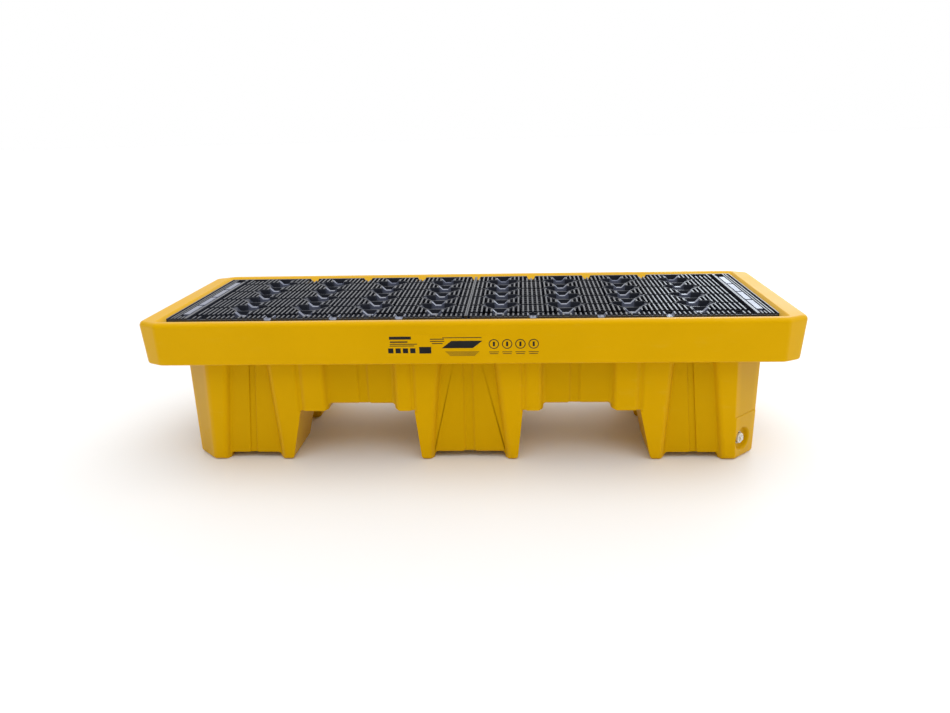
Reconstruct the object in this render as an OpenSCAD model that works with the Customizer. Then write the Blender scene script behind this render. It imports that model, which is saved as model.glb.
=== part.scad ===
// Spill containment pallet: a moulded sump tub on corrugated legs, two lift-out gratings
// on support columns, and a screwed drain plug. Millimetres, Z up, X along the length.
// The origin is on the floor, under the centre of the pallet.

/* [Overall] */
// Length over the lip
pallet_l = 1900; // [1880:5:1920]
// Width over the lip
pallet_w = 700; // [690:5:720]
// Height from the floor to the deck
pallet_h = 450; // [440:5:470]
// Wall thickness of the moulded tub
wall = 8; // [6:0.5:8]

/* [Lip and rim] */
// Height of the lip's outer face
lip_h = 128; // [110:2:136]
// How far the lip's face leans in from top to bottom
lip_lean = 12; // [4:1:14]
// Corner cut of the lip, along the length
lip_cut_x = 61; // [50:1:66]
// Corner cut of the lip, across the width
lip_cut_y = 39; // [30:1:44]
// Flat width of the rim at the ends
rim_flat_end = 54; // [45:1:58]
// Flat width of the rim at the front and rear
rim_flat_side = 28; // [20:1:36]
// Drop of the slope inside the rim
rim_drop = 14; // [8:1:18]

/* [Base] */
// Length of the base at the floor
base_l = 1708; // [1696:2:1712]
// Depth of the base at the floor
base_w = 554; // [548:2:556]
// Lean of the end walls, per millimetre of height
end_lean = 0.030; // [0.020:0.001:0.032]
// Lean of the front and rear walls, per millimetre of height
side_lean = 0.036; // [0.026:0.001:0.036]
// Upright corner cut of the base
base_cut = 67; // [60:1:70]
// Depth of the recessed panels between the foot columns
panel_depth = 18; // [12:1:20]
// Height of the underside between the foot columns
foot_h = 18; // [12:1:22]

/* [Fork pockets and tunnel] */
// Inner edge of a fork pocket at the floor, from the middle
pocket_in = 145; // [140:1:150]
// Outer edge of a fork pocket at the floor, from the middle
pocket_out = 541; // [530:1:545]
// Height of the pocket's shoulders
shoulder_z = 158; // [150:1:162]
// Height of the pocket's raised middle
pocket_z = 176; // [170:1:180]
// Half width of the cross tunnel at the floor
tunnel_half = 74; // [70:1:78]

/* [Gratings] */
// Height of a grating
grating_h = 50; // [46:1:54]
// Play between a grating and the tub
grating_play = 4; // [2:0.5:5]
// Length of one column of hollows
module_x = 192.5; // [190:0.5:193]
// Spacing of the notched cross walls
module_y = 114.75; // [112:0.25:116]
// Width of a slat
slat_w = 5; // [4.5:0.5:7]
// Depth of a slat
slat_h = 14; // [10:1:20]

/* [Supports] */
// Outer diameter of a support column
column_d = 90; // [80:1:100]

/* [Drain] */
// Height of the drain's axis
drain_z = 58; // [54:1:62]
// Radius of the round recess
recess_r = 33; // [30:1:34]
// Depth of the round recess
recess_depth = 14; // [10:1:16]
// Outer radius of the threaded bushing
bush_r = 19; // [18:0.5:20]
// Radius of the bushing's bore
bore_r = 13.5; // [13:0.25:14]
// Running play between the plug and the bore
plug_play = 0.08; // [0.04:0.01:0.10]

/* [Hidden] */
$fn = 64;
over = 1;
ledge_z = pallet_h - grating_h;
lip_z = pallet_h - lip_h;
slope_end = 15;
slope_side = 33;
seat_l = pallet_l - 2 * (rim_flat_end + slope_end);
seat_w = pallet_w - 2 * (rim_flat_side + slope_side);
core_cut = 20;
deck_l = seat_l - 2 * grating_play;
deck_w = seat_w - 2 * grating_play;
shoulder_in = 161;
shoulder_out = 505;
raised_in = 222;
raised_out = 420;
tunnel_top = tunnel_half - 12;
end_gap_in = 582;
end_gap_out = 741;
end_panel_in = 603;
end_panel_out = 694;
mid_gap = 108;
mid_panel = 67;
side_panel_out = 192;
side_panel_top = 168;
side_panel_in = 118;
slat_pitch = 2 * module_x / 27;
first_slat = 1.75 * slat_pitch;
side_slats = 4;
deck_rib = 5;
notch_top = 21;
notch_flat = 9;
notch_drop = 12;
middle_row = 23;
wall_rows = [for (i = [-2 : 2]) middle_row + i * module_y];
row_end = 4;
hollow_tip = 62;
hollow_front = 30;
hollow_back = 46;
hollow_tail = 31;
hollow_bend = 10;
hollow_step = 12;
wall_gap = 3;
front_border = 26;
front_chute = 20;
rear_chute = 12;
seam = 0.5;
end_zone = 30;
column_foot = 6;
column_wall = 5;
column_y = 140;
end_column_x = 660;
drain_shift = 8.5;
drain_reach = 60;
bush_inside = 16;
flange_w = 6;
flange_t = 4;
seal_gap = 0.3;
seal_t = 2.5;
head_r = 15.5;
head_t = 5;
drive_w = 14;
drive_h = 6;
shank_l = 20;
label_l = 436;
label_x = -8;
label_z0 = 346;
label_z1 = 412;
label_t = 0.5;
yellow = [0.86, 0.64, 0.04];
charcoal = [0.14, 0.15, 0.18];

// An outline in X and Z, extruded along Y between y0 and y1
module along_y(points, y0, y1) {
    translate([0, y1, 0]) rotate([90, 0, 0]) linear_extrude(height = y1 - y0) polygon(points);
}

// An outline in Y and Z, extruded along X between x0 and x1
module along_x(points, x0, x1) {
    translate([x0, 0, 0]) rotate([90, 0, 90]) linear_extrude(height = x1 - x0) polygon(points);
}

// The same shape on both sides of the middle plane X = 0
module both_ends() {
    children();
    mirror([1, 0, 0]) children();
}

// The same shape at the front and the rear
module front_and_rear() {
    children();
    mirror([0, 1, 0]) children();
}

// A box with four upright corner cuts
module cut_box(l, w, z0, z1, cx, cy) {
    translate([0, 0, z0]) linear_extrude(height = z1 - z0) polygon([
        [-l / 2 + cx, -w / 2], [l / 2 - cx, -w / 2], [l / 2, -w / 2 + cy], [l / 2, w / 2 - cy],
        [l / 2 - cx, w / 2], [-l / 2 + cx, w / 2], [-l / 2, w / 2 - cy], [-l / 2, -w / 2 + cy]]);
}

// A block whose four sides lean: half sizes a0, b0 at z0 and a1, b1 at z1
module leaning_block(a0, b0, z0, a1, b1, z1) {
    big = pallet_l;
    intersection() {
        along_y([[-a0, z0], [a0, z0], [a1, z1], [-a1, z1]], -big, big);
        along_x([[-b0, z0], [b0, z0], [b1, z1], [-b1, z1]], -big, big);
    }
}

// The lip's outer form, drawn in by inset, with its top at z1
module lip_form(inset, z0, z1) {
    lean = lip_lean / lip_h;
    a = pallet_l / 2 - inset;
    b = pallet_w / 2 - inset;
    d0 = (pallet_h - z0) * lean;
    d1 = (pallet_h - z1) * lean;
    keep = inset * (2 - sqrt(2));
    intersection() {
        leaning_block(a - d0, b - d0, z0, a - d1, b - d1, z1);
        cut_box(2 * a, 2 * b, z0, z1, lip_cut_x - keep, lip_cut_y - keep);
    }
}

// Half length and half depth of the base's walls at a height
function end_at(z) = base_l / 2 + end_lean * z;
function side_at(z) = base_w / 2 + side_lean * z;

// Both fork pockets, grown by g
module fork_pockets(g) {
    both_ends() along_y([
        [pocket_in - g, -over], [shoulder_in - g, shoulder_z + g], [raised_in - g, shoulder_z + g],
        [raised_in - g, pocket_z + g], [raised_out + g, pocket_z + g],
        [raised_out + g, shoulder_z + g], [shoulder_out + g, shoulder_z + g],
        [pocket_out + g, -over]], -pallet_w, pallet_w);
}

// The tunnel from end to end, grown by g
module cross_tunnel(g) {
    along_x([[-tunnel_half - g, -over], [-tunnel_top - g, shoulder_z + g],
        [tunnel_top + g, shoulder_z + g], [tunnel_half + g, -over]], -pallet_l, pallet_l);
}

// The gaps under the legs between the foot columns, grown by g
module foot_gaps(g) {
    gap_z = foot_h + g;
    both_ends() along_y([[end_gap_in - g, -over], [end_gap_in - g, gap_z],
        [end_gap_out + g, gap_z], [end_gap_out + g, -over]], -pallet_w, pallet_w);
    along_y([[-mid_gap - g, -over], [-mid_gap - g, gap_z], [mid_gap + g, gap_z],
        [mid_gap + g, -over]], -pallet_w, pallet_w);
}

// The recessed panels of the front and rear walls, grown by g, up to height top
module panel_recesses(g, top) {
    back0 = -side_at(0) + panel_depth + g;
    back1 = -side_at(top) + panel_depth + g;
    front_and_rear() intersection() {
        along_x([[-pallet_w, -over], [back0, -over], [back1, top], [-pallet_w, top]],
            -pallet_l, pallet_l);
        union() {
            both_ends() along_y([[end_gap_in - g, -over], [end_gap_out + g, -over],
                [end_panel_out + g, top], [end_panel_in - g, top]], -pallet_w, 0);
            both_ends() along_y([[raised_in - g, shoulder_z], [raised_out + g, shoulder_z],
                [raised_out + g, top], [raised_in - g, top]], -pallet_w, 0);
            along_y([[-mid_gap - g, -over], [mid_gap + g, -over], [mid_panel + g, top],
                [-mid_panel - g, top]], -pallet_w, 0);
        }
    }
}

// The recessed panels of the end walls, grown by g, up to height top
module end_recesses(g, top) {
    back0 = end_at(0) - panel_depth - g;
    back1 = end_at(top) - panel_depth - g;
    both_ends() intersection() {
        along_y([[back0, -over], [pallet_l, -over], [pallet_l, top], [back1, top]],
            -pallet_w, pallet_w);
        front_and_rear() along_x([[-side_panel_out - g, -over], [g - side_panel_in, -over],
            [g - side_panel_in, top], [-side_panel_top - g, top]], 0, pallet_l);
    }
}

// Places a shape on the drain's axis, with Z pointing out of the corner face
module at_drain() {
    face = (base_l / 2 + base_w / 2 - base_cut) / 2;
    shift = (base_l - base_w) / 4 - drain_shift;
    translate([face + shift, -face + shift, drain_z]) rotate([0, 0, -45]) rotate([0, 90, 0])
        children();
}

// The legs and body of the tub as one form, drawn in by g, from z0 to z1
module base_form(g, z0, z1) {
    keep = g * (2 - sqrt(2));
    l = 2 * (end_at(z1) - g);
    w = 2 * (side_at(z1) - g);
    spread_x = (end_at(z1) - base_l / 2);
    spread_y = (side_at(z1) - base_w / 2);
    cut = base_cut - keep + spread_x + spread_y;
    difference() {
        intersection() {
            leaning_block(end_at(z0) - g, side_at(z0) - g, z0, l / 2, w / 2, z1);
            cut_box(l, w, z0, z1, cut, cut);
        }
        fork_pockets(g);
        cross_tunnel(g);
        foot_gaps(g);
        panel_recesses(g, z1 + over);
        end_recesses(g, z1 + over);
        at_drain() translate([0, 0, -recess_depth - g]) cylinder(h = drain_reach + g, r = recess_r + g);
    }
}

// One moulded shell: rim, turned-down lip, seat for the gratings, sump and legs
module sump_tub() {
    core_l = seat_l + 2 * wall;
    core_w = seat_w + 2 * wall;
    slope_z = pallet_h - rim_drop;
    color(yellow) difference() {
        union() {
            difference() {
                lip_form(0, lip_z, pallet_h);
                difference() {
                    lip_form(wall, lip_z - over, pallet_h - wall);
                    cut_box(core_l, core_w, ledge_z - wall, pallet_h, core_cut, core_cut);
                    leaning_block(core_l / 2, core_w / 2, slope_z - wall,
                        core_l / 2 + slope_end, core_w / 2 + slope_side, pallet_h - wall);
                }
            }
            base_form(0, 0, ledge_z);
        }
        base_form(wall, wall, ledge_z + over);
        translate([-seat_l / 2, -seat_w / 2, ledge_z]) cube([seat_l, seat_w, grating_h + over]);
        leaning_block(seat_l / 2, seat_w / 2, slope_z,
            seat_l / 2 + slope_end, seat_w / 2 + slope_side, pallet_h);
        at_drain() translate([0, 0, -drain_reach]) cylinder(h = drain_reach, r = bush_r);
    }
}

// A notch with sloping sides, centred on x, cut through y0 to y1
module notch(x, y0, y1) {
    bottom = pallet_h - notch_drop;
    translate([x, 0, 0]) along_y([[-notch_flat, bottom], [notch_flat, bottom],
        [notch_top + over, pallet_h + over], [-notch_top - over, pallet_h + over]], y0, y1);
}

// The open hollows of one column, in front of each notched wall
module hollow_column(x) {
    for (y = wall_rows) {
        mid = y - module_y / 2;
        front = max(mid - module_y / 2 + wall_gap, -deck_w / 2 + front_border);
        back = mid + module_y / 2 - wall_gap;
        edge = max(mid, front + hollow_step);
        tail = edge + hollow_tail;
        nose = front + hollow_bend;
        translate([x, 0, pallet_h - slat_h]) linear_extrude(height = slat_h + over) polygon([
            [-notch_top, back], [-notch_top, tail], [-hollow_back, tail],
            [-hollow_tip, edge], [-hollow_front, nose], [-notch_top, front],
            [notch_top, front], [hollow_front, nose], [hollow_tip, edge],
            [hollow_back, tail], [notch_top, tail], [notch_top, back]]);
    }
}

// One slat of full length
module slat(x) {
    translate([x - slat_w / 2, -deck_w / 2, pallet_h - slat_h]) cube([slat_w, deck_w, slat_h]);
}

// One grating, from the seam to the right-hand end
module grating_half() {
    x1 = deck_l / 2;
    bottom = ledge_z;
    color(charcoal) difference() {
        union() {
            difference() {
                union() {
                    for (i = [0 : 3], j = [0 : side_slats], side = [-1, 1])
                        slat((i + 0.5) * module_x + side * (first_slat + j * slat_pitch));
                    for (j = [1 : side_slats]) slat(4 * module_x + j * slat_pitch);
                    translate([x1 - end_zone, -deck_w / 2, pallet_h - slat_h])
                        cube([end_zone, deck_w, slat_h]);
                }
                for (i = [0 : 3]) hollow_column((i + 0.5) * module_x);
            }
            for (y = wall_rows)
                translate([seam, y - deck_rib / 2, bottom])
                    cube([x1 - seam, deck_rib, grating_h]);
            for (i = [1 : 4])
                translate([i * module_x - deck_rib / 2, -deck_w / 2, bottom])
                    cube([deck_rib, deck_w, grating_h]);
            difference() {
                translate([seam, -deck_w / 2, bottom]) cube([x1 - seam, deck_w, grating_h]);
                translate([seam + deck_rib, -deck_w / 2 + deck_rib, bottom - over])
                    cube([x1 - seam - 2 * deck_rib, deck_w - 2 * deck_rib, grating_h + 2 * over]);
            }
        }
        for (i = [0 : 3]) notch((i + 0.5) * module_x, wall_rows[0] - row_end, wall_rows[4] + row_end);
        for (i = [1 : 3]) notch(i * module_x, -deck_w, -deck_w / 2 + front_chute);
        for (i = [1 : 3]) notch(i * module_x, deck_w / 2 - rear_chute, deck_w);
    }
}

module grating_right() {
    grating_half();
}

module grating_left() {
    mirror([1, 0, 0]) grating_half();
}

// A hollow moulded column with a closed cap and a foot flange, standing at height z0
module support_column(x, y, z0) {
    r = column_d / 2;
    t = column_wall;
    h = ledge_z - z0;
    color(charcoal) translate([x, y, z0]) rotate_extrude() polygon([
        [r - t, 0], [r + column_foot, 0], [r + column_foot, t], [r, t], [r, h], [0, h],
        [0, h - t], [r - t, h - t]]);
}

pocket_floor = pocket_z + wall;
tunnel_floor = shoulder_z + wall;
column_x = (raised_in + raised_out) / 2;

module column_front_left() { support_column(-column_x, -column_y, pocket_floor); }
module column_rear_left() { support_column(-column_x, column_y, pocket_floor); }
module column_front_right() { support_column(column_x, -column_y, pocket_floor); }
module column_rear_right() { support_column(column_x, column_y, pocket_floor); }
module column_end_left() { support_column(-end_column_x, 0, tunnel_floor); }
module column_middle() { support_column(0, 0, tunnel_floor); }
module column_end_right() { support_column(end_column_x, 0, tunnel_floor); }

// Threaded bushing moulded into the corner wall, with a flange inside the sump
module drain_bushing() {
    seat = -recess_depth;
    inner = seat - wall - bush_inside;
    color("ivory") at_drain() rotate_extrude() polygon([
        [bore_r, inner], [bush_r, inner], [bush_r, seat - wall - flange_t],
        [bush_r + flange_w, seat - wall - flange_t], [bush_r + flange_w, seat - wall],
        [bush_r, seat - wall], [bush_r, seat], [bore_r, seat]]);
}

// Flat rubber ring between the plug's head and the bushing
module plug_seal() {
    color([0.1, 0.1, 0.1]) at_drain() translate([0, 0, -recess_depth]) rotate_extrude() polygon([
        [bore_r + seal_gap, 0], [head_r, 0], [head_r, seal_t], [bore_r + seal_gap, seal_t]]);
}

// Screw plug with a raised square drive on its head
module drain_plug() {
    seat = -recess_depth + seal_t;
    color("white") at_drain() union() {
        translate([0, 0, seat]) cylinder(h = head_t, r = head_r);
        translate([0, 0, seat - seal_t - shank_l])
            cylinder(h = shank_l + seal_t + over, r = bore_r - plug_play);
        translate([-drive_w / 2, -drive_w / 2, seat + head_t - over])
            cube([drive_w, drive_w, drive_h + over]);
    }
}

// Thin printed plate on the face of the lip
module front_label() {
    lean = lip_lean / lip_h;
    y0 = -pallet_w / 2 + (pallet_h - label_z0) * lean;
    y1 = -pallet_w / 2 + (pallet_h - label_z1) * lean;
    color([0.9, 0.7, 0.1]) along_x([[y0, label_z0], [y0 - label_t, label_z0],
        [y1 - label_t, label_z1], [y1, label_z1]], label_x - label_l / 2, label_x + label_l / 2);
}

sump_tub();
grating_left();
grating_right();
column_front_left();
column_rear_left();
column_front_right();
column_rear_right();
column_end_left();
column_middle();
column_end_right();
drain_bushing();
plug_seal();
drain_plug();
front_label();
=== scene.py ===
"""Spill containment pallet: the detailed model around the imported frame.

Every length in the tables below is in millimetres, in the frame's own axes: X along the
pallet, Y to the rear, Z up, with the origin on the floor. MM turns them into metres.
"""

import math

import bmesh
import bpy
from mathutils import Matrix, Vector


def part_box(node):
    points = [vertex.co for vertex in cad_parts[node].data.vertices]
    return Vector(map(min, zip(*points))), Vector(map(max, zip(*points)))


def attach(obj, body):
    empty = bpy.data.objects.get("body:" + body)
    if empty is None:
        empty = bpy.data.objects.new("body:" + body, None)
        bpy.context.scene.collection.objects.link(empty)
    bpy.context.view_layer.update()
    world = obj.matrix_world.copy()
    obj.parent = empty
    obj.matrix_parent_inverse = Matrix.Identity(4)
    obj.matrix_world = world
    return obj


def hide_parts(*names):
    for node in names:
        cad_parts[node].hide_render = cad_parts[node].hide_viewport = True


bl_info = {
    "name": "Spill containment pallet",
    "version": (1, 0, 0),
    "blender": (4, 5, 0),
    "location": "3D View > Sidebar > Pallet",
    "description": "Builds the tub, deck gratings, supports, drain and stage of a spill pallet",
    "category": "Add Mesh",
}

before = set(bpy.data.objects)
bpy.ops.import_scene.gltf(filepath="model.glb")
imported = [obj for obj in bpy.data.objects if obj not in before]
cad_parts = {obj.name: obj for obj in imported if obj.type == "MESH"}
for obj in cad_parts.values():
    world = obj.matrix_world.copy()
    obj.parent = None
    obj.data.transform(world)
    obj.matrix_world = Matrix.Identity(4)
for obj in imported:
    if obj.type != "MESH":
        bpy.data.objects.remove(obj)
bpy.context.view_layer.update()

MM = 0.001


def box_mm(node):
    """Lowest and highest corner of a CAD node, in millimetres."""
    low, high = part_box(node)
    return [v / MM for v in low], [v / MM for v in high]


HALF_L, HALF_W, TOP = box_mm("sump_tub")[1]
DECK_LOW, DECK_HIGH = box_mm("grating_right")
DECK_X, DECK_Y, SEAT_Z = DECK_HIGH[0], DECK_HIGH[1], DECK_LOW[2]
LABEL_LOW, LABEL_HIGH = box_mm("front_label")
WALL = 8.0

# Rim and lip: flat widths, the slope inside them, the lip's lean and its corner cuts
RIM_END, RIM_SIDE = 54.0, 28.0
SLOPE_END, SLOPE_SIDE, SLOPE_DROP = 15.0, 33.0, 14.0
LIP_Z, LIP_LEAN = 322.0, 12.0
TOP_R, LIP_R, UPRIGHT_R = 14.0, 6.0, 26.0
LIP_CUT_X, LIP_CUT_Y = 61.0, 39.0

# The base: half sizes at the floor, lean per millimetre of height, and its corner plane X + Y
BASE_X, BASE_Y = 854.0, 277.0
LEAN_X, LEAN_Y = 0.030, 0.036
CORNER_SUM = 1064.0
BASE_TOP, LEDGE = SEAT_Z - WALL / 2, 60.0
CUT_TOP, BELOW = SEAT_Z + 40, -40.0

# Cuts in the base, as spans in X: pockets at three heights, foot gaps, panels, ridges, grooves
FOOT_Z, SHOULDER_Z, POCKET_Z = 18.0, 158.0, 176.0
POCKET_FLOOR, POCKET_SHOULDER, POCKET_RAISED = (145.0, 541.0), (161.0, 505.0), (222.0, 420.0)
TUNNEL_LOW, TUNNEL_TOP = 76.0, 62.0
END_GAP, MIDDLE_GAP = (582.0, 741.0), (-108.0, 108.0)
PANEL_DEPTH, FLARE, PANEL_Z, LINTEL_Z = 18.0, 0.55, 304.0, 100.0
END_PANEL, MIDDLE_PANEL = (598.0, 706.0), (-77.0, 77.0)
RIDGE_DEPTH, RIDGE_FLARE = PANEL_DEPTH + 5, 1.1
END_RIDGE_LOW, END_RIDGE_HIGH = (655.0, 682.0), (630.0, 655.0)
MIDDLE_RIDGE, LINTEL_RIDGE = (-11.0, 11.0), (302.0, 324.0)
GROOVES_X, GROOVE_HALF, GROOVE, GROOVE_FLARE = (164.0, 502.0), 3.0, 6.0, 1.3
SIDE_FAR, SIDE_FAR_TOP, SIDE_NEAR = 192.0, 168.0, 118.0
PAD_Z, PAD_SUM, PAD_REACH = 135.0, CORNER_SUM - 3.0, 120.0

# Rounding: the flattest edge rounded, the least width in metres, and the arcs' pieces
SOFT_ANGLE = math.radians(24)
LEAST_ROUNDING = 0.0004
CORNER_STEPS, ARC_STEPS = 4, 5

# The drain: centre of its opening on the corner face, and the recess
DRAIN_X, DRAIN_Y, DRAIN_Z = 812.0, -252.0, 58.0
RECESS_R, RECESS_DEPTH, BUSH_R = 33.0, 14.0, 19.0
RECESS = [(RECESS_R + 8, 0.6), (RECESS_R + 4, -0.4), (RECESS_R + 1.5, -2.2),
          (RECESS_R, -5.0), (RECESS_R - 1.5, -RECESS_DEPTH + 4),
          (RECESS_R - 3.5, -RECESS_DEPTH + 1), (RECESS_R - 7, -RECESS_DEPTH)]
DRAIN_TURN = (Matrix.Rotation(math.radians(-45), 4, "Z")
              @ Matrix.Rotation(math.radians(90), 4, "Y"))
DRAIN_PLACE = Matrix.Translation(Vector((DRAIN_X, DRAIN_Y, DRAIN_Z)) * MM) @ DRAIN_TURN

# The deck pattern: column spacing, spacing of the notched walls, and the wall rows in Y
MODULE_X, MODULE_Y = 192.5, 114.75
WALL_ROWS = [23.0 + i * MODULE_Y for i in (-2, -1, 0, 1, 2)]
CROSS_ROWS = [y + MODULE_Y / 2 for y in WALL_ROWS[:-1]]
SLAT_PITCH = 2 * MODULE_X / 27
FIRST_SLAT = 24.95
SLAT_W, SLAT_H, SLAT_GAP = 5.0, 14.0, 5.5
COLUMNS = [(i + 0.5) * MODULE_X for i in range(4)]

# A grating, measured in from its edges: the front slats, where the long slats start, and
# the strip at the outer end
FRONT_IN, FRONT_OUT, SLATS_START = 1.0, 30.0, 48.0
STRIP_IN, STRIP_OUT = 60.0, 51.0
NOTCH_TOP, NOTCH_LOW, NOTCH_DROP = 21.0, 8.5, 12.0
SLATS_BELOW = 0.3

# One hollow, as (place in Y, half width) and (place in Y, depth below the deck)
SCOOP_HALF = [(-57, 21), (-42, 30), (-21, 46), (0, 61), (31, 45)]
SCOOP_FLOOR = [(-57, 12), (-42, 15), (-21, 20), (0, 26), (31, 34)]

# The label's bars: centre as shares of its length and height, then width, height and lean
LABEL_BARS = (
    [(0.10, 0.86, 62, 9, 0), (0.09, 0.68, 50, 4, 0), (0.12, 0.58, 78, 2.4, 0),
     (0.11, 0.50, 70, 2.4, 0)]
    + [(0.035 + 0.048 * k, 0.28, 15, 15, 0) for k in range(4)]
    + [(0.26, 0.30, 34, 20, 0), (0.34, 0.80, 40, 2.6, 0), (0.34, 0.70, 40, 2.6, 0),
       (0.34, 0.60, 30, 2.6, 0), (0.50, 0.55, 88, 22, 14)]
    + [(0.50, 0.22 - 0.045 * k, 96 - 6 * k, 1.2, 0) for k in range(5)]
    + [(0.50, 0.86, 110, 2.2, 0)])
FILM_T, FILM_CORNER, FILM_PROUD, PRINT_PROUD = 0.35, 4.0, 0.36, 0.42

# Finishes: tone of dark and light blotches, roughness, bump strength and its depth in metres,
# scales of blotch, grain and scuff, the scuffs' colour and strength, and a specular tint
WARM = (1.0, 0.62, 0.02, 1.0)
PALE_SCUFF = ((0.4, 0.42, 0.46, 1.0), 0.3)
FINISHES = {
    "tub polyethylene": (0.95, 1.04, 0.42, 0.25, 0.0006, (2.2, 420.0, 14.0),
                         ((0.85, 0.62, 0.12, 1.0), 0.12), WARM),
    "grating plastic": (0.9, 1.25, 0.27, 0.2, 0.0003, (5.0, 500.0, 30.0),
                        ((0.16, 0.17, 0.20, 1.0), 0.3), None),
    # Painted reflection: this finish goes on the scoops, with a lighter black.
    "smooth reflection-painted grating plastic": (0.9, 1.1, 0.22, 0.1, 0.0003, (8.0, 500.0, 30.0), PALE_SCUFF, None),
    # Painted highlight: this finish goes on the notches, chutes and end plates, with a lighter
    # black.
    "highlight-painted grating plastic": (0.85, 1.2, 0.24, 0.1, 0.0003, (8.0, 500.0, 30.0), PALE_SCUFF,
                                 None),
    "support plastic": (0.85, 1.2, 0.45, 0.3, 0.0003, (6.0, 420.0, 24.0),
                        ((0.12, 0.12, 0.13, 1.0), 0.4), None),
    "plug plastic": (0.93, 1.05, 0.4, 0.2, 0.0002, (40.0, 900.0, 90.0),
                     ((0.55, 0.5, 0.4, 1.0), 0.4), None),
    "bushing plastic": (0.9, 1.05, 0.5, 0.3, 0.0002, (50.0, 900.0, 90.0),
                        ((0.4, 0.35, 0.28, 1.0), 0.4), None),
    "seal rubber": (0.8, 1.4, 0.65, 0.4, 0.0002, (60.0, 900.0, 90.0),
                    ((0.08, 0.08, 0.08, 1.0), 0.5), None),
    "label film": (0.96, 1.02, 0.36, 0.1, 0.0002, (12.0, 700.0, 40.0),
                   ((0.8, 0.55, 0.1, 1.0), 0.05), WARM),
    "label ink": (0.8, 1.6, 0.35, 0.1, 0.0002, (30.0, 700.0, 60.0),
                  ((0.3, 0.25, 0.1, 1.0), 0.1), (0.3, 0.3, 0.3, 1.0)),
}
BUSHING_COLOUR, RUBBER_COLOUR = (0.66, 0.62, 0.52, 1.0), (0.02, 0.02, 0.02, 1.0)
REFRACTION = 1.42

# The studio, in metres and degrees: a lamp, a sun, a level that grows towards +X and +Y,
# and the camera's place with its pitch, yaw and roll
SIDE_SIZE, SIDE_POWER, SIDE_TINT = (2.8, 1.4), 30.0, (0.80, 0.90, 1.0)
SIDE_PLACE, SIDE_AIM = (2.5, 3.6, 1.4), (0.6, 0, 0.4)
OVERHEAD, OVERHEAD_SPREAD, OVERHEAD_TURN = 1.65, 80, (12, 8, 0)
ROOM, ROOM_X, ROOM_Y, ROOM_LEAST = 0.60, 0.30, 0.70, 0.45
CAMERA_PLACE = (0.16164, -2.48805, 1.00025)
CAMERA_TURN = (16.9275, 3.58, -1.4194)


# ---------------------------------------------------------------- settings

def colour_setting(name, description, default):
    """A colour setting, kept on the scene."""
    return bpy.props.FloatVectorProperty(
        name=name, description=description, subtype="COLOR", size=4, min=0.0, max=1.0,
        default=default)


class PalletTub(bpy.types.PropertyGroup):
    """Sizes and colour of the yellow tub."""

    edge_round: bpy.props.FloatProperty(
        name="Edge rounding", description="Largest rounding of the tub's edges",
        default=0.016, min=0.004, max=0.018, unit="LENGTH")
    yellow: colour_setting("Yellow", "Colour of the polyethylene", (0.735, 0.405, 0.0008, 1.0))


class PalletDeck(bpy.types.PropertyGroup):
    """Sizes and colour of the gratings and their supports."""

    edge_round: bpy.props.FloatProperty(
        name="Edge rounding", description="Rounding of the slats' edges",
        default=0.0008, min=0.0002, max=0.0015, unit="LENGTH")
    black: colour_setting("Black", "Colour of the grating plastic", (0.026, 0.029, 0.041, 1.0))


class PalletDrain(bpy.types.PropertyGroup):
    """Sizes and colour of the drain plug."""

    ribs: bpy.props.IntProperty(
        name="Grip ribs", description="Number of ribs round the plug's head",
        default=24, min=12, max=36)
    white: colour_setting("White", "Colour of the plug", (0.78, 0.77, 0.72, 1.0))


class PalletLabel(bpy.types.PropertyGroup):
    """Print of the label on the lip."""

    ink: colour_setting("Ink", "Colour of the label's print", (0.012, 0.012, 0.012, 1.0))


class PalletStage(bpy.types.PropertyGroup):
    """Floor and camera."""

    lens: bpy.props.FloatProperty(
        name="Lens", description="Focal length of the camera in millimetres",
        default=30.2, min=18.0, max=80.0)
    floor: colour_setting("Floor", "Colour of the floor", (0.93, 0.93, 0.93, 1.0))


# ---------------------------------------------------------------- mesh helpers

def make_object(name, bm):
    """Turns a bmesh into an object at the origin."""
    mesh = bpy.data.meshes.new(name)
    bm.to_mesh(mesh)
    bm.free()
    obj = bpy.data.objects.new(name, mesh)
    bpy.context.scene.collection.objects.link(obj)
    return obj


def point(u, v, t, along):
    """A point of an outline (u, v) at depth t along an axis, in metres."""
    x, y, z = {"x": (t, u, v), "y": (u, t, v), "z": (u, v, t)}[along]
    return Vector((x, y, z)) * MM


def prism(outline, low, high, along):
    """A closed prism of an outline, from low to high along an axis."""
    bm = bmesh.new()
    verts = [bm.verts.new(point(u, v, low, along)) for u, v in outline]
    face = bm.faces.new(verts)
    grown = bmesh.ops.extrude_face_region(bm, geom=[face])
    fresh = [g for g in grown["geom"] if isinstance(g, bmesh.types.BMVert)]
    bmesh.ops.translate(bm, verts=fresh, vec=point(0, 0, high - low, along))
    bmesh.ops.recalc_face_normals(bm, faces=bm.faces)
    return bm


def block(x0, x1, y0, y1, z0, z1):
    """A box between two corners."""
    return prism([(x0, y0), (x1, y0), (x1, y1), (x0, y1)], z0, z1, "z")


def mirrored(bm, axis):
    """A mirror image of a bmesh."""
    other = bm.copy()
    factor = Vector((1, 1, 1))
    factor[axis] = -1
    bmesh.ops.scale(other, verts=other.verts, vec=factor)
    bmesh.ops.reverse_faces(other, faces=other.faces)
    return other


def both_sides(bm, axis):
    """A bmesh and its mirror image."""
    return [bm, mirrored(bm, axis)]


def joined(parts):
    """One bmesh of several, which are used up."""
    whole = bmesh.new()
    mesh = bpy.data.meshes.new("part")
    for part in parts:
        part.to_mesh(mesh)
        part.free()
        whole.from_mesh(mesh)
    bpy.data.meshes.remove(mesh)
    return whole


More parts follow.
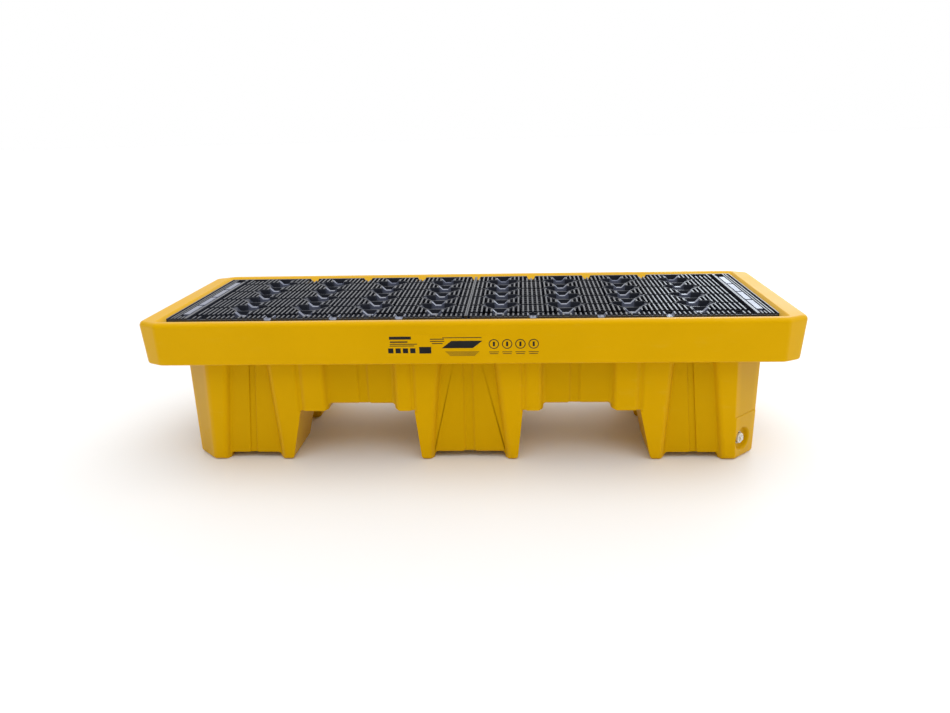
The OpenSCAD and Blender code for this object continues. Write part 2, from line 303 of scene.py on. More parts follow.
def apply_modifiers(obj):
    """Replaces an object's mesh with its evaluated one."""
    graph = bpy.context.evaluated_depsgraph_get()
    graph.update()
    mesh = bpy.data.meshes.new_from_object(obj.evaluated_get(graph))
    obj.modifiers.clear()
    old = obj.data
    obj.data = mesh
    bpy.data.meshes.remove(old)


def combine(obj, parts, operation):
    """Applies boolean operations with closed bmeshes, which are used up."""
    others = [make_object("tool", part) for part in parts]
    for other in others:
        modifier = obj.modifiers.new("combine", "BOOLEAN")
        modifier.operation = operation
        modifier.solver = "EXACT"
        modifier.object = other
    apply_modifiers(obj)
    for other in others:
        mesh = other.data
        bpy.data.objects.remove(other)
        bpy.data.meshes.remove(mesh)
    return obj


def clean(bm):
    """Merges doubles and dissolves what lies in one plane."""
    bmesh.ops.remove_doubles(bm, verts=bm.verts, dist=0.0002)
    bmesh.ops.dissolve_limit(
        bm, angle_limit=math.radians(0.4), verts=bm.verts, edges=bm.edges)
    bmesh.ops.dissolve_degenerate(bm, dist=0.0002, edges=bm.edges)


def fit_widths(bm, width):
    """Reduces edge roundings until no two of them meet along an edge."""
    for _ in range(60):
        worst = 1.0
        for face in bm.faces:
            for loop in face.loops:
                before, after = loop.link_loop_prev, loop.link_loop_next
                own = width[loop.edge.index]
                turn_a = max(0.2, min(math.pi - 0.2, loop.calc_angle()))
                turn_b = max(0.2, min(math.pi - 0.2, after.calc_angle()))
                need_a = (width[before.edge.index] + own * math.cos(turn_a)) / math.sin(turn_a)
                need_b = (width[after.edge.index] + own * math.cos(turn_b)) / math.sin(turn_b)
                need = max(0.0, need_a) + max(0.0, need_b)
                room = 0.92 * loop.edge.calc_length()
                if need > room and need > 1e-7:
                    ratio = max(0.4, room / need)
                    if need_a > 0:
                        width[before.edge.index] *= ratio
                    if need_b > 0:
                        width[after.edge.index] *= ratio
                    worst = min(worst, ratio)
        if worst > 0.999:
            break


def round_edges(obj, largest, segments, wanted):
    """Rounds the sharp edges; wanted(edge) gives each one's width as a share of the largest."""
    bm = bmesh.new()
    bm.from_mesh(obj.data)
    clean(bm)
    bm.edges.index_update()
    width = []
    for edge in bm.edges:
        width.append(largest * wanted(edge) if len(edge.link_faces) == 2 else 0.0)
    fit_widths(bm, width)
    layer = bm.edges.layers.float.new("bevel_weight_edge")
    for edge in bm.edges:
        share = min(1.0, width[edge.index] / largest)
        edge[layer] = share if share * largest > LEAST_ROUNDING else 0.0
    bm.to_mesh(obj.data)
    bm.free()
    modifier = obj.modifiers.new("rounding", "BEVEL")
    modifier.width = largest
    modifier.segments = segments
    modifier.limit_method = "WEIGHT"
    modifier.use_clamp_overlap = False
    modifier.offset_type = "OFFSET"
    modifier.profile = 0.5
    apply_modifiers(obj)


def shade(obj, angle):
    """Smooth faces, with sharp edges above an angle in degrees."""
    bm = bmesh.new()
    bm.from_mesh(obj.data)
    for face in bm.faces:
        face.smooth = True
    for edge in bm.edges:
        edge.smooth = edge.calc_face_angle(0) < math.radians(angle)
    bm.to_mesh(obj.data)
    bm.free()
    modifier = obj.modifiers.new("even normals", "WEIGHTED_NORMAL")
    modifier.keep_sharp = True
    apply_modifiers(obj)


def finish_piece(obj, body, material, nodes=()):
    """Gives a piece its material and its body, and hides the CAD nodes that it stands for."""
    obj.data.materials.clear()
    obj.data.materials.append(material)
    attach(obj, body)
    if nodes:
        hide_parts(*nodes)
    return obj


# ---------------------------------------------------------------- shared effects

class Nodes:
    """Short calls that add and link nodes in one tree."""

    def __init__(self, tree):
        self.tree = tree

    def add(self, kind, inputs=None, **settings):
        """Adds a node; inputs are values or other nodes' sockets, by name or index."""
        node = self.tree.nodes.new(kind)
        for name, value in settings.items():
            setattr(node, name, value)
        for key, value in (inputs or {}).items():
            socket = node.inputs[key]
            if isinstance(value, bpy.types.NodeSocket):
                self.tree.links.new(value, socket)
            else:
                socket.default_value = value
        return node

    def noise(self, where, scale, detail=4.0, rough=0.5):
        """A noise value over a place."""
        node = self.add("ShaderNodeTexNoise", {
            "Vector": where, "Scale": scale, "Detail": detail, "Roughness": rough})
        return node.outputs["Fac"]

    def spread(self, value, low, high, to_low=0.0, to_high=1.0):
        """Maps a value from one range to another, clamped."""
        node = self.add("ShaderNodeMapRange", {
            0: value, 1: low, 2: high, 3: to_low, 4: to_high}, clamp=True)
        return node.outputs[0]

    def sum(self, operation, a, b):
        """One arithmetic step on two values."""
        return self.add("ShaderNodeMath", {0: a, 1: b}, operation=operation).outputs[0]

    def mix(self, factor, a, b):
        """Mixes two colours."""
        node = self.add("ShaderNodeMix", {0: factor, 6: a, 7: b}, data_type="RGBA")
        return node.outputs[2]


def new_group(name, inputs, outputs):
    """An empty node group from a place and numbers to numbers: its tree, calls and two ends."""
    group = bpy.data.node_groups.new(name, "ShaderNodeTree")
    face = group.interface
    face.new_socket("Place", in_out="INPUT", socket_type="NodeSocketVector")
    for title, value in inputs:
        face.new_socket(title, in_out="INPUT", socket_type="NodeSocketFloat").default_value = value
    for title in outputs:
        face.new_socket(title, in_out="OUTPUT", socket_type="NodeSocketFloat")
    n = Nodes(group)
    return group, n, n.add("NodeGroupInput").outputs, n.add("NodeGroupOutput").inputs


def moulded_surface():
    """Group: blotches, scuffs and a fine height for moulded plastic, over Object coordinates."""
    name = "moulded surface"
    if name in bpy.data.node_groups:
        return bpy.data.node_groups[name]
    group, n, source, end = new_group(
        name, (("Blotch scale", 3.0), ("Grain scale", 300.0), ("Scuff scale", 12.0)),
        ("Blotch", "Scuff", "Height"))
    blotch = n.spread(n.noise(source["Place"], source["Blotch scale"], 3.0), 0.3, 0.7)
    stretched = n.add("ShaderNodeMapping", {
        "Vector": source["Place"], "Rotation": (0.2, 0.4, 0.5), "Scale": (1.0, 6.0, 5.0)})
    scratch = n.noise(stretched.outputs[0], source["Scuff scale"], 8.0, 0.65)
    patch = n.noise(source["Place"], 2.6, 2.0)
    scuff = n.sum("MULTIPLY", n.spread(scratch, 0.56, 0.72), n.spread(patch, 0.45, 0.65))
    grain = n.noise(source["Place"], source["Grain scale"], 2.0, 0.6)
    waves = n.noise(source["Place"], 9.0, 2.0)
    height = n.sum("ADD", n.sum("MULTIPLY", grain, 0.35), waves)
    for title, value in (("Blotch", blotch), ("Scuff", scuff), ("Height", height)):
        group.links.new(value, end[title])
    return group


def recess_shade_mask():
    """Group for painted shade: one on the base's outer faces, falling to zero in its recesses,
    where the colour is darkened to stand for the shade that falls there.
    """
    name = "recess tone"
    if name in bpy.data.node_groups:
        return bpy.data.node_groups[name]
    group, n, source, end = new_group(name, (), ("Tone",))
    place = n.add("ShaderNodeSeparateXYZ", {0: source["Place"]}).outputs
    faces = []
    for axis, half, lean in ((0, BASE_X, LEAN_X), (1, BASE_Y, LEAN_Y)):
        out = n.sum("SUBTRACT", n.sum("ABSOLUTE", place[axis], 0.0),
                    n.sum("MULTIPLY", place[2], lean))
        faces.append(n.spread(out, (half - PANEL_DEPTH - 2) * MM, (half - 3) * MM))
    group.links.new(n.sum("MAXIMUM", *faces), end["Tone"])
    return group


def plastic(name, colour, recess=None):
    """A moulded plastic: colour with blotches and scuffs, uneven gloss and a fine bump, and
    painted shade in the base's recesses when a recess colour is given.
    """
    dark, light, rough, bump, depth, scales, (scuff, scuff_share), tint = FINISHES[name]
    material = bpy.data.materials.new(name)
    material.use_nodes = True
    tree = material.node_tree
    tree.nodes.clear()
    n = Nodes(tree)
    place = n.add("ShaderNodeTexCoord").outputs["Object"]
    group = n.add("ShaderNodeGroup", node_tree=moulded_surface())
    tree.links.new(place, group.inputs["Place"])
    for title, value in zip(("Blotch scale", "Grain scale", "Scuff scale"), scales):
        group.inputs[title].default_value = value
    tone = n.mix(group.outputs["Blotch"], shaded(colour, dark), shaded(colour, light))
    tone = n.mix(n.sum("MULTIPLY", group.outputs["Scuff"], scuff_share), tone, scuff)
    # Painted shade: a darker colour in the base's recesses stands for the shade that falls there.
    if recess:
        shade_mask = n.add("ShaderNodeGroup", {"Place": place}, node_tree=recess_shade_mask())
        tone = n.mix(shade_mask.outputs["Tone"], n.mix(0.8, tone, recess), tone)
    gloss = n.spread(group.outputs["Blotch"], 0.0, 1.0, rough - 0.05, rough + 0.07)
    gloss = n.sum("ADD", gloss, n.sum("MULTIPLY", group.outputs["Scuff"], 0.12))
    relief = n.add("ShaderNodeBump", {
        "Strength": bump, "Distance": depth, "Height": group.outputs["Height"]})
    shader = n.add("ShaderNodeBsdfPrincipled", {
        "Base Color": tone, "Roughness": gloss, "Normal": relief.outputs[0],
        "IOR": REFRACTION})
    if tint:
        shader.inputs["Specular Tint"].default_value = tint
    end = n.add("ShaderNodeOutputMaterial")
    tree.links.new(shader.outputs[0], end.inputs[0])
    return material


def shaded(colour, factor):
    """A colour made darker or lighter."""
    return tuple(min(1.0, c * factor) for c in colour[:3]) + (1.0,)


# ---------------------------------------------------------------- tub

def base_x(z):
    """Half length of the base at a height."""
    return BASE_X + LEAN_X * z


def base_y(z):
    """Half depth of the base at a height."""
    return BASE_Y + LEAN_Y * z


def loft(rings, around=False):
    """A closed form through rings of (x, y, z) points; around joins the last to the first."""
    bm = bmesh.new()
    verts = [bm.verts.new(Vector(p) * MM) for p in rings[0]]
    edges = [bm.edges.new((verts[i - 1], verts[i])) for i in range(len(verts))]
    steps = list(zip(rings, rings[1:])) + ([(rings[-1], rings[0])] if around else [])
    for lower, upper in steps:
        grown = bmesh.ops.extrude_edge_only(bm, edges=edges)["geom"]
        fresh = {g for g in grown if isinstance(g, bmesh.types.BMVert)}
        edges = [g for g in grown
                 if isinstance(g, bmesh.types.BMEdge) and fresh.issuperset(g.verts)]
        places = [Vector(p) * MM for p in lower]
        for vert in fresh:
            near = min(range(len(places)), key=lambda i: (places[i] - vert.co).length_squared)
            vert.co = Vector(upper[near]) * MM
    bmesh.ops.remove_doubles(bm, verts=bm.verts, dist=0.00001)
    bmesh.ops.holes_fill(bm, edges=bm.edges, sides=0)
    bmesh.ops.recalc_face_normals(bm, faces=bm.faces)
    return bm


def octagon(a, b, cut_x, cut_y, z):
    """Eight corners of a rectangle of half sizes a and b with its corners cut."""
    return [(a, b - cut_y, z), (a - cut_x, b, z), (cut_x - a, b, z), (-a, b - cut_y, z),
            (-a, cut_y - b, z), (cut_x - a, -b, z), (a - cut_x, -b, z), (a, cut_y - b, z)]


def base_ring(inset, z):
    """The base's outline at a height, drawn in by inset, between its upright corner planes."""
    a, b = base_x(z) - inset, base_y(z) - inset
    cut = a + b - (CORNER_SUM - inset * math.sqrt(2))
    return octagon(a, b, cut, cut, z)


def rounded(ring, radius):
    """A ring of corners with each corner replaced by an arc of CORNER_STEPS pieces."""
    corners = [Vector(p) for p in ring]
    points = []
    for i, corner in enumerate(corners):
        back = (corners[i - 1] - corner).normalized()
        ahead = (corners[(i + 1) % len(corners)] - corner).normalized()
        half = (math.pi - back.angle(ahead)) / 2
        centre = corner + (back + ahead).normalized() * radius / math.cos(half)
        first = corner + back * radius * math.tan(half) - centre
        last = corner + ahead * radius * math.tan(half) - centre
        for k in range(CORNER_STEPS + 1):
            points.append(centre + first.slerp(last, k / CORNER_STEPS).normalized() * radius)
    return points


def lip_lean(z):
    """How far the lip's face has drawn in at a height."""
    return max(0.0, TOP - TOP_R - z) * LIP_LEAN / (TOP - LIP_Z)


def lip_ring(inset, z):
    """The lip's outline at a height, drawn in by inset."""
    lean = lip_lean(z)
    a, b = HALF_L - inset - lean, HALF_W - inset - lean
    keep = inset * (2 - math.sqrt(2)) + lean
    return rounded(octagon(a, b, LIP_CUT_X - keep, LIP_CUT_Y - keep, z),
                   max(2.0, UPRIGHT_R - inset))


def inner_ring(x, y, z):
    """The outline of the opening inside the rim, at a height."""
    return rounded(octagon(x, y, 5, 5, z), 5)


def rim_rings(seat_x, seat_y):
    """Rings round the rim's section: lip, rim, slope, seat ledge and the underside."""
    slope_z = TOP - SLOPE_DROP
    rings = []
    for k in range(ARC_STEPS + 1):
        turn = math.pi / 2 * k / ARC_STEPS
        rings.append(lip_ring(LIP_R * (1 - math.sin(turn)), LIP_Z + LIP_R * (1 - math.cos(turn))))
    for k in range(ARC_STEPS + 1):
        turn = math.pi / 2 * k / ARC_STEPS
        rings.append(lip_ring(TOP_R * (1 - math.cos(turn)), TOP - TOP_R * (1 - math.sin(turn))))
    for share, drop in ((1.16, 0.0), (1.0, 0.7), (0.85, 2.1), (0.12, 12.3), (0.0, 15.5)):
        rings.append(inner_ring(seat_x + SLOPE_END * share, seat_y + SLOPE_SIDE * share,
                                TOP - drop))
    rings.append(inner_ring(seat_x, seat_y, SEAT_Z + 3))
    rings.append(inner_ring(seat_x - 2, seat_y - 2, SEAT_Z))
    rings.append(inner_ring(seat_x - LEDGE, seat_y - LEDGE, SEAT_Z))
    rings.append(inner_ring(seat_x - LEDGE, seat_y - LEDGE, SEAT_Z - WALL))
    rings.append(inner_ring(seat_x + WALL, seat_y + WALL, SEAT_Z - WALL))
    rings.append(inner_ring(seat_x + WALL, seat_y + WALL, slope_z - WALL))
    rings.append(inner_ring(seat_x + WALL + SLOPE_END, seat_y + WALL + SLOPE_SIDE - 14,
                            TOP - WALL - 2))
    rings.append(lip_ring(WALL, TOP - WALL - 2))
    rings.append(lip_ring(WALL, LIP_Z))
    return rings


def wall_recess(outline, grow, depth, flare):
    """A cutter for a recess in the front wall; its sides open towards the front."""
    centre = sum(u for u, _ in outline) / len(outline)
    bm = prism([(u + math.copysign(grow, u - centre), v) for u, v in outline],
               -HALF_W, 0, "y")
    for vert in bm.verts:
        z = vert.co.z / MM
        back = depth + grow - base_y(z)
        if vert.co.y > -1e-6:
            vert.co.y = back * MM
        else:
            side = math.copysign(flare, vert.co.x - centre * MM)
            vert.co.x += side * (HALF_W + back) * MM
    return bm


def end_recess(outline, grow, depth, flare):
    """A cutter for a recess in the right-hand end wall."""
    centre = sum(u for u, _ in outline) / len(outline)
    bm = prism([(u + math.copysign(grow, u - centre), v) for u, v in outline],
               0, HALF_L, "x")
    for vert in bm.verts:
        z = vert.co.z / MM
        back = base_x(z) - depth - grow
        if vert.co.x < 1e-6:
            vert.co.x = back * MM
        else:
            side = math.copysign(flare, vert.co.y - centre * MM)
            vert.co.y += side * (HALF_L - back) * MM
    return bm


def upright(span, z0, z1):
    """The outline of an upright rectangle."""
    low, high = span
    return [(low, z0), (high, z0), (high, z1), (low, z1)]


def tapered(low_span, high_span, top):
    """An outline whose sides run from low_span at FOOT_Z through high_span at PANEL_Z."""
    def across(z):
        k = (z - FOOT_Z) / (PANEL_Z - FOOT_Z)
        return [low + (high - low) * k for low, high in zip(low_span, high_span)]

    start, end = across(BELOW), across(top)
    return [(start[0], BELOW), (start[1], BELOW), (end[1], top), (end[0], top)]


def ridge(outline):
    """A cutter for the deeper stripe in a panel."""
    return wall_recess(outline, 0, RIDGE_DEPTH, RIDGE_FLARE)


def corner_pad():
    """What is cut above the drain, which leaves a raised pad round it."""
    ends = [740, 900, 960, 800]
    reach = [0, 0, PAD_REACH, PAD_REACH]
    return prism([(x, x - PAD_SUM - back) for x, back in zip(ends, reach)],
                 PAD_Z, CUT_TOP, "z")


def base_cutters(grow):
    """What is cut from the base, grown by grow; the small relief is cut at its own size only."""
    top, shoulder, roof = CUT_TOP, SHOULDER_Z + grow, POCKET_Z + grow
    (in0, out0), (in1, out1), (in2, out2) = POCKET_FLOOR, POCKET_SHOULDER, POCKET_RAISED
    pocket = [(in0 - grow, BELOW), (in0 - grow, 0), (in1 - grow, shoulder),
              (in2 - grow, shoulder), (in2 - grow, roof), (out2 + grow, roof),
              (out2 + grow, shoulder), (out1 + grow, shoulder), (out0 + grow, 0),
              (out0 + grow, BELOW)]
    parts = both_sides(prism(pocket, -HALF_W, HALF_W, "y"), 0)
    tunnel = [(-TUNNEL_LOW - grow, BELOW), (TUNNEL_LOW + grow, BELOW),
              (TUNNEL_TOP + grow, shoulder), (-TUNNEL_TOP - grow, shoulder)]
    parts.append(prism(tunnel, -HALF_L, HALF_L, "x"))
    for low, high in (END_GAP, MIDDLE_GAP, (-END_GAP[1], -END_GAP[0])):
        parts.append(block(low - grow, high + grow, -HALF_W, HALF_W, BELOW, FOOT_Z + grow))
    fronts = []
    for outline in (tapered(END_GAP, END_PANEL, top), upright(POCKET_RAISED, LINTEL_Z, top)):
        fronts += both_sides(wall_recess(outline, grow, PANEL_DEPTH, FLARE), 0)
    fronts.append(wall_recess(tapered(MIDDLE_GAP, MIDDLE_PANEL, top), grow, PANEL_DEPTH, FLARE))
    if grow == 0:
        fronts += both_sides(ridge(tapered(END_RIDGE_LOW, END_RIDGE_HIGH, top)), 0)
        fronts.append(ridge(tapered(MIDDLE_RIDGE, MIDDLE_RIDGE, top)))
        parts.append(corner_pad())
        for x in GROOVES_X:
            groove = upright((x - GROOVE_HALF, x + GROOVE_HALF), SHOULDER_Z - 2, top)
            fronts += both_sides(wall_recess(groove, 0, GROOVE, GROOVE_FLARE), 0)
        fronts += both_sides(ridge(upright(LINTEL_RIDGE, LINTEL_Z, top)), 0)
    for bm in fronts:
        parts += both_sides(bm, 1)
    side = [(-SIDE_FAR, BELOW), (-SIDE_NEAR, BELOW), (-SIDE_NEAR, top), (-SIDE_FAR_TOP, top)]
    for bm in both_sides(end_recess(side, grow, PANEL_DEPTH, FLARE), 1):
        parts += both_sides(bm, 0)
    return parts


def lathe(profile, steps):
    """A closed turned form of (radius, height) points from axis to axis, about the drain."""
    bm = bmesh.new()
    verts = [bm.verts.new(Vector((r, 0, z)) * MM) for r, z in profile]
    edges = [bm.edges.new(pair) for pair in zip(verts, verts[1:])]
    bmesh.ops.spin(bm, geom=verts + edges, cent=(0, 0, 0), axis=(0, 0, 1),
                   angle=2 * math.pi, steps=steps, use_merge=True)
    bmesh.ops.remove_doubles(bm, verts=bm.verts, dist=0.00001)
    bmesh.ops.recalc_face_normals(bm, faces=bm.faces)
    bmesh.ops.transform(bm, matrix=DRAIN_PLACE, verts=bm.verts)
    return bm


def tub_widths(edge):
    """How far one of the base's edges is rounded, as a share of the largest rounding."""
    ends = [v.co / MM for v in edge.verts]
    rim = min(p.z for p in ends) > SEAT_Z - WALL - 1 or any(
        abs(p.x) > base_x(TOP) + 2 or abs(p.y) > base_y(TOP) + 2 for p in ends)
    if rim or edge.calc_face_angle(0) < SOFT_ANGLE:
        return 0.0
    return 0.7 if edge.is_convex else 0.75


def build_tub(settings):
    """One moulded shell: rim, turned-down lip, seat for the gratings, sump and legs."""
    seat_x = HALF_L - RIM_END - SLOPE_END
    seat_y = HALF_W - RIM_SIDE - SLOPE_SIDE
    tub = make_object("tub", loft([base_ring(0, 0), base_ring(0, BASE_TOP)]))
    combine(tub, base_cutters(0), "DIFFERENCE")
    combine(tub, [loft(rim_rings(seat_x, seat_y), True)], "UNION")
    round_edges(tub, settings.edge_round, 4, tub_widths)
    inner = make_object("tool", loft([base_ring(WALL, WALL), base_ring(WALL, SEAT_Z + 1)]))
    combine(inner, base_cutters(WALL), "DIFFERENCE")
    round_edges(inner, 0.008, 2, lambda edge: 1.0 if edge.verts[0].co.z < 0.39 else 0.0)
    pocket = lathe([(0, 40), (RECESS_R + 16, 40), (RECESS_R + 16, 6)] + RECESS
                   + [(0, -RECESS_DEPTH)], 48)
    shell = lathe([(0, 40), (RECESS_R + WALL, 40), (RECESS_R + WALL, -RECESS_DEPTH - WALL),
                   (0, -RECESS_DEPTH - WALL)], 48)
    combine(inner, [shell], "DIFFERENCE")
    hollow = bmesh.new()
    hollow.from_mesh(inner.data)
    bpy.data.objects.remove(inner)
    bore = lathe([(0, 1), (BUSH_R, 1), (BUSH_R, -60), (0, -60)], 40)
    combine(tub, [pocket, hollow, bore], "DIFFERENCE")
    weld(tub)
    shade(tub, 32)
    return tub


def weld(obj):
    """Merges the doubles that the booleans leave."""
    bm = bmesh.new()
    bm.from_mesh(obj.data)
    bmesh.ops.remove_doubles(bm, verts=bm.verts, dist=0.00002)
    bmesh.ops.dissolve_degenerate(bm, dist=0.00002, edges=bm.edges)
    bm.to_mesh(obj.data)
    bm.free()


# ---------------------------------------------------------------- gratings

def notch_outline(half_top, half_low, drop, side, low):
    """A plate's outline in X and Z with a sloping notch in its top."""
    return [(-side, low), (side, low), (side, TOP), (half_top, TOP), (half_low, TOP - drop),
            (-half_low, TOP - drop), (-half_top, TOP), (-side, TOP)]


def strip(path, thick, z0, z1):
    """An upright wall along a path of (x, y) points."""
    bm = bmesh.new()
    verts = [bm.verts.new(Vector((x, y, z0)) * MM) for x, y in path]
    edges = [bm.edges.new(pair) for pair in zip(verts, verts[1:])]
    grown = bmesh.ops.extrude_edge_only(bm, edges=edges)
    fresh = [g for g in grown["geom"] if isinstance(g, bmesh.types.BMVert)]
    bmesh.ops.translate(bm, verts=fresh, vec=(0, 0, (z1 - z0) * MM))
    bmesh.ops.recalc_face_normals(bm, faces=bm.faces)
    bmesh.ops.solidify(bm, geom=bm.faces[:], thickness=thick * MM)
    return bm


def moved(bm, x, y):
    """A bmesh shifted in X and Y, in millimetres."""
    bmesh.ops.translate(bm, verts=bm.verts, vec=(x * MM, y * MM, 0))
    return bm


def table_value(table, at):
    """Reads a table of (place, value) pairs, with straight lines between them."""
    for (a, low), (b, high) in zip(table, table[1:]):
        if at <= b:
            return low + (high - low) * max(0.0, (at - a) / (b - a))
    return table[-1][1]


def scoop(reach):
    """The smooth floor of one hollow, from the notch down to the rear."""
    bm = bmesh.new()
    bmesh.ops.create_grid(bm, x_segments=8, y_segments=6, size=1.0)
    for vert in bm.verts:
        s, t = vert.co.x, (vert.co.y + 1) / 2
        v = -57 + (57 + reach) * t
        half = table_value(SCOOP_HALF, v)
        depth = table_value(SCOOP_FLOOR, v)
        flat = 8.5 / half
        rise = max(0.0, (abs(s) - flat) / (1 - flat))
        drop = depth - (depth - 3) * rise ** 1.5
        vert.co = Vector((s * half, v, TOP - drop)) * MM
    bmesh.ops.recalc_face_normals(bm, faces=bm.faces)
    for face in bm.faces:
        if face.normal.z < 0:
            face.normal_flip()
    bmesh.ops.solidify(bm, geom=bm.faces[:], thickness=2.0 * MM)
    return bm


def slat_spans(u):
    """Where one slat runs between two cross rows, by its distance from the column centre."""
    u = abs(u)
    if u >= 62:
        return [(SLAT_GAP, MODULE_Y - SLAT_GAP)]
    if u < 21:
        return []
    start = 31.0 if u <= 46 else 31.0 * (62 - u) / 16
    end = -42 - (30 - u) * 15 / 9 if u < 30 else -42 + (u - 30) * 42 / 32
    return [(max(SLAT_GAP, start), MODULE_Y + end - 1.5)]


def slat(x, y0, y1):
    """One piece of slat."""
    return block(x - SLAT_W / 2, x + SLAT_W / 2, y0, y1, TOP - SLAT_H,
                 TOP - SLATS_BELOW)


def column_of_hollows(x):
    """Upright walls of one column of hollows; the rear row has only the start of its arms."""
    front = [(21, -57), (30, -42), (62, 0)]
    rear = [(62, 0), (46, 31), (22, 31), (21, 57)]
    parts = []
    for wall_y in WALL_ROWS:
        last = wall_y == WALL_ROWS[-1]
        walls = both_sides(strip(front[:2] if last else front, 3.0, SEAT_Z + 8, TOP), 0)
        if not last:
            walls += both_sides(strip(rear, 2.0, SEAT_Z + 14, TOP - 1), 0)
        parts += [moved(bm, x, wall_y + MODULE_Y / 2) for bm in walls]
    return parts


def facing(parts, sign):
    """One grating's parts as one form, mirrored for the left-hand grating."""
    bm = joined(parts)
    return bm if sign > 0 else mirrored(bm, 0)


def scoops(sign):
    """The smooth floors of one grating's hollows."""
    parts = []
    for x in COLUMNS:
        for wall_y in WALL_ROWS:
            reach = -42 if wall_y == WALL_ROWS[-1] else 24
            parts.append(moved(scoop(reach), x, wall_y + MODULE_Y / 2))
    return facing(parts, sign)


def highlight_painted_faces(sign):
    """The faces of one grating with a painted highlight: notches, front chutes and end plates,
    coloured lighter to stand for the sheen that they reflect.
    """
    parts = []
    notch = notch_outline(NOTCH_TOP, NOTCH_LOW, NOTCH_DROP, NOTCH_TOP + 1, SEAT_Z + 4)
    for x in COLUMNS:
        for wall_y in WALL_ROWS:
            parts.append(moved(prism(notch, -13, 2, "y"), x, wall_y))
    chute = [(-17, TOP), (-15, TOP), (-8, TOP - 9), (8, TOP - 9), (15, TOP), (17, TOP),
             (17, TOP - 13), (-17, TOP - 13)]
    for i in (1, 2, 3):
        parts.append(moved(prism(chute, 4 - DECK_Y, 33 - DECK_Y, "y"), i * MODULE_X, 0))
    cuts = [DECK_Y - 50, MODULE_Y, 0, -MODULE_Y, 50 - DECK_Y]
    parts += [block(DECK_X - 47, DECK_X - 29, low + 5, high - 5, TOP - 25, TOP - 0.6)
              for high, low in zip(cuts, cuts[1:])]
    return facing(parts, sign)


def grating(sign):
    """One grating: slats, cross ribs, the hollows' walls, borders and the end zone."""
    x0, x1 = 0.5, DECK_X
    parts = []
    front, rear = -DECK_Y, DECK_Y
    edges = [CROSS_ROWS[0] - MODULE_Y] + CROSS_ROWS + [CROSS_ROWS[-1] + MODULE_Y]
    offsets = [FIRST_SLAT + SLAT_PITCH * j for j in range(6)]
    places = []
    for centre in COLUMNS:
        places += [(centre, -u) for u in offsets[:5]] + [(centre, u) for u in offsets]
    places += [(COLUMNS[-1] + MODULE_X, -u) for u in offsets[3:5]]
    for centre, u in places:
        x = centre + u
        if x > x1 - 65:
            continue
        beside_notch = abs(x / MODULE_X - round(x / MODULE_X)) * MODULE_X < 16 and x < x1 - 80
        last = rear - (34 if beside_notch else 5)
        for cross in edges[:-1]:
            for a, b in slat_spans(u if centre in COLUMNS else 90):
                y0, y1 = max(cross + a, front + SLATS_START), min(cross + b, last)
                if y1 - y0 > 4:
                    parts.append(slat(x, y0, y1))
        if abs(abs(u) - offsets[5]) > 1:
            parts.append(slat(x, front + FRONT_IN, front + FRONT_OUT))
    for centre in COLUMNS:
        for u in (-10.7, 10.7):
            parts.append(slat(centre + u, front + FRONT_IN, front + FRONT_OUT))
        parts += column_of_hollows(centre)
    for y in CROSS_ROWS:
        parts.append(block(x0 + 2, x1 - 40, y - 2.5, y + 2.5, SEAT_Z, TOP - 12))
    for i in range(1, 5):
        parts.append(block(i * MODULE_X - 2, i * MODULE_X + 2, front + 20, rear - 4, SEAT_Z,
                           TOP - SLAT_H + 2))
    parts.append(block(x0 + 2, x1 - 60, front + 44, front + 46, SEAT_Z + 10, TOP - 10))
    for i in range(5):
        low = max(x0 + 2, i * MODULE_X - 34)
        high = min(x1 - 64, i * MODULE_X + 34)
        y = front + 60
        while y < rear - 30 and high > low:
            parts.append(block(low, high, y - 1.5, y + 1.5, SEAT_Z + 12, TOP - 7))
            y += MODULE_Y / 4
    parts.append(block(x0, x0 + 4, front + 2, rear - 2, SEAT_Z, TOP))
    parts += border(x0, x1, front, rear)
    parts += end_zone(x1, front, rear)
    bm = joined(parts)
    if sign < 0:
        bmesh.ops.scale(bm, verts=bm.verts, vec=(-1, 1, 1))
        bmesh.ops.reverse_faces(bm, faces=bm.faces)
    return bm


def skirt_outline(x0, x1, half_top, half_low, drop, high=TOP):
    """Outline in X and Z of a border with a notch at each column boundary."""
    outline = [(x0, SEAT_Z), (x1, SEAT_Z), (x1, high)]
    for i in (3, 2, 1):
        x = i * MODULE_X
        outline += [(x + half_top, high), (x + half_low, high - drop),
                    (x - half_low, high - drop), (x - half_top, high)]
    outline += [(x0 + half_top, high), (x0 + half_low, high - drop), (x0, high - drop)]
    return outline


def border(x0, x1, front, rear):
    """Front and rear borders with their notches."""
    return [prism(skirt_outline(x0, x1, 13, 8, 5, TOP - 4), front, front + 4, "y"),
            prism(skirt_outline(x0, x1, 15, NOTCH_LOW, NOTCH_DROP), rear - 6, rear, "y")]


def end_zone(x1, front, rear):
    """The solid strip and the long slats at the outer end."""
    strip_x = (x1 - STRIP_IN, x1 - STRIP_OUT)
    parts = [block(*strip_x, front + 3, rear - 40, TOP - 16, TOP - SLATS_BELOW),
             block(*strip_x, rear - 32, rear - 5, TOP - 16, TOP - SLATS_BELOW),
             block(x1 - 64, x1 - 3, front + 46, front + 49, SEAT_Z + 10, TOP - 11),
             block(x1 - 50, x1 - 2, front + 3, rear - 3, TOP - 32, TOP - 24),
             block(x1 - 4, x1, front, rear, SEAT_Z, TOP)]
    for x in (x1 - 23, x1 - 14):
        parts.append(slat(x, front + 3, rear - 5))
    for x in (x1 - 44, x1 - 34):
        parts.append(slat(x, front + FRONT_IN, front + FRONT_OUT))
    return parts


# ---------------------------------------------------------------- drain and label

